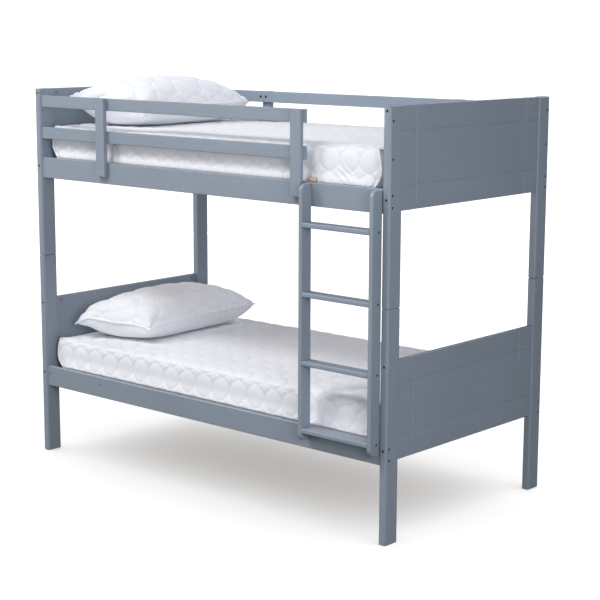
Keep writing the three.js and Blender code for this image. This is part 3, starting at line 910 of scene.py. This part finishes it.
def block_mesh(name, low, high, rings_below):
    """A rounded block of squares, and the loops of points round its two end panels."""
    half = (high - low) / 2
    counts = [max(4, round(2 * h / COVER_STEP)) for h in half]
    number, points = {}, []
    spots = [
        spot for spot in itertools.product(*(range(count + 1) for count in counts))
        if any(n in (0, count) for n, count in zip(spot, counts))
    ]

    def on_grid(spot):
        return np.array([2 * n / count - 1 for n, count in zip(spot, counts)]) * half

    def place_on_pattern(spot, axis, side):
        x, y, z = on_grid(spot)
        if axis == 0:
            return END_PANEL + y, z - half[2] + rings_below
        front_edge = rings_below - ROWS_TO_MIDDLE * RING_PITCH
        if axis == 1:
            depth = half[2] - z
            return x, front_edge - depth if side < 0 else front_edge + 2 * half[1] + depth
        return x, front_edge + half[1] + y + (0 if side > 0 else 2 * END_PANEL)

    for spot in spots:
        core = np.clip(on_grid(spot), -(half - CORNER), half - CORNER)
        away = (on_grid(spot) - core) / CORNER
        number[spot] = len(points)
        points.append(core + CORNER * away / max(np.linalg.norm(away), 1e-9))
    faces, flat = [], []
    for axis in range(3):
        one, two = [n for n in range(3) if n != axis]
        for side, m, n in itertools.product((-1, 1), range(counts[one]), range(counts[two])):
            corners = [(m, n), (m + 1, n), (m + 1, n + 1), (m, n + 1)]
            if (side > 0) == (axis == 1):
                corners.reverse()
            face = []
            for p, q in corners:
                spot = [0, 0, 0]
                spot[axis] = counts[axis] if side > 0 else 0
                spot[one], spot[two] = p, q
                face.append(number[tuple(spot)])
                flat.append(place_on_pattern(spot, axis, side))
            faces.append(face)
    loops = []
    for i in (0, counts[0]):
        j_last, k_last = counts[1], counts[2]
        ring = [(i, j, 0) for j in range(j_last)] + [(i, j_last, k) for k in range(k_last)]
        ring += [(i, j, k_last) for j in range(j_last, 0, -1)]
        ring += [(i, 0, k) for k in range(k_last, 0, -1)]
        loops.append([number[spot] for spot in ring])
    cover = add_mesh_piece(name, np.array(points) + (low + high) / 2, faces, flat)
    long_edges = {number[spot] for spot in spots if spot[2] == counts[2] and spot[1] in (0, counts[1])}
    ridges = [long_edges, *map(set, loops)]
    sharp = [any(set(edge.vertices) <= ridge for ridge in ridges) for edge in cover.data.edges]
    crease = cover.data.attributes.new("crease_edge", "FLOAT", "EDGE")
    crease.data.foreach_set("value", np.where(sharp, EDGE_CREASE, 0.0))
    return cover, loops


def shape_cover(points, low, high, pulls):
    """The ends and sides belly out at half height, and the top is crowned past the pillow."""
    middle, half = (low + high) / 2, (high - low) / 2
    share = (points - middle) / half
    size, way = np.abs(share), np.sign(share)
    shaped = points.copy()
    top, underside = (np.where(share[:, 0] < 0, head, foot) for head, foot in zip(*pulls))
    pull = np.where(share[:, 2] > 0, top * size[:, 2] ** 2.2, underside * size[:, 2] ** 1.2)
    shaped[:, 0] -= way[:, 0] * np.clip(size[:, 0] * 12 - 11, 0, 1) * pull
    shaped[:, 1] -= way[:, 1] * np.clip(size[:, 1] * 8 - 7, 0, 1) * 0.006 * size[:, 2] ** 2.5
    shaped[:, 1] -= share[:, 1] * 0.004 * np.cos(share[:, 0] * math.pi / 2)
    above = np.clip(share[:, 2], 0, 1)
    past_pillow = 0.5 + 0.5 * np.tanh((share[:, 0] + 0.36) / 0.09)
    lip = np.clip((-0.88 - share[:, 0]) / 0.06, 0, 1)
    inside = (1 - size[:, 0] ** 30) * (1 - size[:, 1] ** 16)
    shaped[:, 2] += above * CROWN * (past_pillow + lip) * inside
    from_corner = np.linalg.norm((1 - size[:, :2]) * half[:2], axis=1)
    shaped[:, 2] += above * 0.008 * np.exp(-(from_corner / 0.035) ** 2)
    return shaped


def lie_over_rails(points, rail_top, low, high, overhang):
    """Just above each rail the side lies out over it; nothing comes lower than the rail's top there."""
    clear = rail_top + 1.2 * MM
    near = np.minimum(points[:, 1] - low[1], high[1] - points[:, 1]) < 0.024
    in_length = np.clip((np.minimum(points[:, 0] - low[0], high[0] - points[:, 0]) - 0.03) / 0.04, 0, 1)
    just_below = near & (points[:, 2] < clear) & (points[:, 2] > rail_top - 3.5 * MM)
    points[just_below, 2] = clear
    height = (points[:, 2] - clear) / OVERHANG_HEIGHT
    swell = 0.5 + 0.5 * np.cos(math.pi * np.clip(height, 0, 1))
    out = np.where(near & (height >= 0), swell, 0) * in_length
    points[:, 1] += np.sign(points[:, 1] - (low[1] + high[1]) / 2) * overhang * out
    return points


def dissolve_underside(mesh, height):
    """The hidden flat underside needs few faces."""
    bm = bmesh.new()
    bm.from_mesh(mesh)
    flat = {face for face in bm.faces if all(v.co.z < height + 0.1 * MM for v in face.verts)}
    edges = {edge for face in flat for edge in face.edges if flat.issuperset(edge.link_faces)}
    bmesh.ops.dissolve_edges(bm, edges=list(edges), use_verts=True)
    bm.to_mesh(mesh)
    bm.free()


def puff_cover(cover):
    """The cover swells as cloth; no point goes further than MOST_PUFF."""
    rest = points_of(cover.data)
    moved = run_cloth(cover, frames=20, pressure=4.0, mass=0.3, gravity=0.0,
                      stiffness=15.0, bending=0.5)
    step = moved - rest
    length = np.linalg.norm(step, axis=1)[:, None]
    return rest + step * np.minimum(1, MOST_PUFF / np.maximum(length, 1e-9))


def gathers(points, low, high):
    """Fine upright puckers where the cover is pulled under the mattress."""
    share = (points[:, 2] - low[2]) / (high[2] - low[2])
    ripple = two_waves(points[:, 0] + points[:, 1], 0.034, 0.0213, (1.7, 13), 0.5)
    fade = groove(np.clip(share - 0.12, 0, 1), 0.28) * np.clip(share / 0.08, 0, 1)
    return GATHER_DEPTH * ripple * fade


def drag_creases(points, front):
    """Folds where the side drags down towards the foot: ridges with a hollow beside them."""
    drawn = np.zeros(len(points))
    on_side = points[:, 1] < front + 0.012
    for start, end in DRAG_LINES:
        along = np.array(end) - np.array(start)
        length = np.linalg.norm(along)
        along /= length
        from_start = points[:, [0, 2]] - np.array(start)
        reach, off = from_start @ along, from_start @ np.array([-along[1], along[0]])
        in_reach = on_side & (reach > -0.01) & (reach < length + 0.01)
        fade = np.sin(math.pi * (0.15 + 0.8 * np.clip(reach / length, 0, 1)))
        fold = groove(off, 0.0055) - 0.8 * groove(off - 0.010, 0.005)
        drawn += np.where(in_reach, fade * fold, 0)
    return DRAG_DEPTH * drawn


def quilt_mattress(cover, bed, seed, low, high, inner_low, inner_high):
    """Draws the cover in along its rings, gathers and panel seams, and lays it over the rails."""
    subdivide(cover, 2)
    wander_pattern(cover.data, seed)
    points, flat = points_of(cover.data), flat_points(cover.data)
    quilted = np.clip((points[:, 2] - (high[2] - QUILTED_HEIGHT)) / 0.008, 0, 1)
    set_share(cover.data, "quilted", quilted)
    relief = ring_relief(flat, RING_PITCH, RING_RADIUS, INNER_RING_RADIUS, RING_DEPTH, RING_WIDTH)
    relief = relief * quilted + gathers(points, low, high)
    from_panel = (inner_high[0] - inner_low[0]) / 2 - np.abs(flat[:, 0])
    relief -= PANEL_SEAM_DEPTH * groove(from_panel - PANEL_SEAM, PANEL_SEAM_WIDTH)
    if bed == "upper":
        relief += drag_creases(points, inner_low[1])
    points += normals_of(cover.data) * relief[:, None]
    points[:, 2] = np.maximum(points[:, 2], inner_low[2])
    rail_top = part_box(bed + "_side_rail_front")[1][2]
    set_points(cover.data, lie_over_rails(points, rail_top, inner_low, inner_high, OVERHANG[bed]))
    dissolve_underside(cover.data, inner_low[2])


def make_mattress(bed, body, seed, material, trim):
    """A foam block in a quilted knit sleeve with corded end panels."""
    low, high = (np.array(corner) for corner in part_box(bed + "_mattress"))
    inner_low, inner_high = low + FOAM_INSET_LOW, high - FOAM_INSET_HIGH
    cover, loops = block_mesh(bed + "_mattress_cover", inner_low, inner_high, RINGS_BELOW_EDGE[bed])
    set_points(cover.data, shape_cover(points_of(cover.data), inner_low, inner_high, END_PULLS[bed]))
    puffed = puff_cover(cover)
    puffed[:, 2] = np.maximum(puffed[:, 2], inner_low[2])
    set_points(cover.data, puffed)
    quilt_mattress(cover, bed, seed, low, high, inner_low, inner_high)
    cover.data.materials.append(material)
    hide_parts(bed + "_mattress")
    tubes = [tube_along(puffed[loop], PANEL_CORD_RADIUS) for loop in loops]
    (head, head_faces), (foot, foot_faces) = tubes
    faces = head_faces + [tuple(i + len(head) for i in face) for face in foot_faces]
    cord = add_mesh_piece(bed + "_mattress_piping", np.concatenate([head, foot]), faces)
    cord.data.materials.append(trim)
    for piece in (cover, cord):
        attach(piece, body)


TAB_CORNER = (0.596, -0.4745, 1.3412)
TAB_WIDTH = 0.036
TAB_ROWS = 9
TAB_THICKNESS = 1.3
TAB_OUTLINE = np.array([  # (y, z) in millimetres, from the seam round the fold and back
    (0.0, 21.0), (-4.0, 19.5), (-8.0, 14.0), (-9.5, 7.0),
    (-8.0, 1.8), (-4.0, 0.4), (0.0, 1.6), (0.0, 11.0),
])
TAB_MIDDLE = np.array([-4.5, 10.5])


def tab_outline(inset):
    """The folded tab's outline, a given distance inside its outer face."""
    spread = TAB_OUTLINE - TAB_MIDDLE
    return TAB_MIDDLE + spread * (1 - inset / np.linalg.norm(spread, axis=1))[:, None]


def add_tab(name, body, material):
    """A short folded tab sewn to the side: a flattened sleeve, open at its ends."""
    points = []
    for inset in (0.0, TAB_THICKNESS):
        for i in range(TAB_ROWS):
            across = i / (TAB_ROWS - 1)
            slack = 1 + 0.12 * math.sin(math.pi * across) - 0.08 * across
            narrowing = 1.06 - 0.16 * across
            for y, z in tab_outline(inset):
                offset = (TAB_WIDTH * across, y * MM * slack, z * MM * narrowing)
                points.append(np.array(TAB_CORNER) + offset)
    count = len(TAB_OUTLINE)
    layer = TAB_ROWS * count
    faces = tube_faces(TAB_ROWS, count, closed=False)
    faces += [[layer + n for n in reversed(face)] for face in faces]
    for i in (0, TAB_ROWS - 1):
        for j in range(count):
            k = (j + 1) % count
            rim = [i * count + j, layer + i * count + j, layer + i * count + k, i * count + k]
            faces.append(rim if i == 0 else rim[::-1])
    tab = add_mesh_piece(name, points, faces)
    subdivide(tab, 2)
    tab.data.materials.append(material)
    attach(tab, body)


# ------------------------------------ fabric

FABRIC = (0.83, 0.845, 0.885)
PILLOW_FABRIC = (0.865, 0.88, 0.92)
CORD_WHITE = (0.90, 0.92, 0.955)
BEIGE = (0.50, 0.38, 0.31)
THREAD_HALF_WIDTH = 0.0022  # of the line that a row of stitches draws
STITCH_LENGTH = 0.0042


def stitched_ring(s, where, pitch, radius):
    """One where the ring's thread runs, and the same broken into stitches."""
    split = s.node("ShaderNodeSeparateXYZ", {"Vector": where})
    x, y = (s.math("WRAP", split.outputs[axis], pitch / 2, -pitch / 2) for axis in (0, 1))
    reach = s.math("SQRT", s.math("MULTIPLY_ADD", x, x, s.math("MULTIPLY", y, y)))
    off = s.math("ABSOLUTE", s.math("SUBTRACT", reach, radius))
    line = s.remap(off, 0.0, THREAD_HALF_WIDTH, 1.0, 0.0)
    stitches = round(radius * 2 * math.pi / STITCH_LENGTH)
    stitch = s.math("SINE", s.math("MULTIPLY", s.math("ARCTAN2", y, x), stitches))
    return line, s.math("MULTIPLY", line, s.remap(stitch, -0.4, 0.5, 0.0, 1.0))


def quilted_cloth(name, pitch, radii, colour, groove_shade_tone):
    """White knit with stitched rings, its ribs a few millimetres apart; along the rings the colour is
    painted darker, as painted shade in their stitched grooves.
    """
    s = Shader(name, 0.86, 0.18)
    s.out.inputs["Sheen Weight"].default_value = 0.12
    s.out.inputs["Sheen Roughness"].default_value = 0.5
    where = s.flat_place()
    lines, threads = stitched_ring(s, where, pitch, radii[0])
    for radius in radii[1:]:
        line, thread = stitched_ring(s, where, pitch, radius)
        lines, threads = s.math("MAXIMUM", lines, line), s.math("MAXIMUM", threads, thread)
    ribs = s.wave(where, 100.0, "X", 1.2, **{"Detail": 1.0, "Detail Scale": 2.0})
    courses = s.wave(where, 140.0, "Y", 0.8)
    knit = s.math("MULTIPLY_ADD", ribs, 0.6, s.math("MULTIPLY", courses, 0.4))
    creases = s.noise(s.place(), 26.0, 4.0, 0.6)
    cloudy = s.remap(s.noise(s.place(), 5.0, 2.0, 0.5), 0.3, 0.7, 0.0, 1.0)
    # The last shade is the rings' line colour: painted shade, darker than the cloth, standing for the
    # shadow in the stitched grooves.
    darker, seam = shades(colour, 0.93, groove_shade_tone)
    tone = s.math("MULTIPLY_ADD", cloudy, 0.6, s.math("MULTIPLY", knit, 0.4))
    shade = s.blend(tone, darker, colour)
    quilted = s.node("ShaderNodeAttribute", attribute_name="quilted").outputs["Fac"]
    lines, threads = s.math("MULTIPLY", lines, quilted), s.math("MULTIPLY", threads, quilted)
    # Painted shade: the colour darkens along the stitched rings, where their grooves would be in
    # shadow.
    s.use(colour=s.blend(s.math("MULTIPLY", lines, 0.45), shade, seam))
    normal = s.bump(creases, 0.22, 0.004)
    normal = s.bump(knit, 0.35, 0.0004, normal)
    normal = s.bump(s.math("SUBTRACT", s.math("MULTIPLY", threads, 0.7), lines), 0.5, 0.0012, normal)
    s.use(normal=normal)
    return s.material


def plain_weave(name, colour):
    """Tight cotton of the cording and the tape."""
    s = Shader(name, 0.8, 0.2)
    over = s.wave(s.place(turn=(0.6, 0.4, 0.8)), 300.0, "X", 0.6)
    worn = s.noise(s.place(), 40.0, 3.0, 0.5)
    share = s.math("MULTIPLY_ADD", over, 0.3, s.math("MULTIPLY", worn, 0.7))
    s.use(colour=s.blend(share, *shades(colour, 0.93, 1.0)))
    s.use(normal=s.bump(over, 0.3, 0.0003))
    return s.material


# The last number sets how dark the painted shade along the stitched rings is.
KNIT = quilted_cloth("quilted_knit", RING_PITCH, (RING_RADIUS,), FABRIC, 0.8)
PILLOW_CLOTH = quilted_cloth("quilted_cotton", PILLOW_PITCH, PILLOW_RING_RADII, PILLOW_FABRIC, 0.66)
CORDING = plain_weave("white_cording", CORD_WHITE)

add_tab("upper_mattress_tab", "upper_mattress", plain_weave("beige_tape", BEIGE))
for bed, seed in (("lower", 0.4), ("upper", 2.1)):
    make_mattress(bed, bed + "_mattress", seed, KNIT, CORDING)
    make_pillow(bed, bed + "_pillow", seed, PILLOW_CLOTH, CORDING)
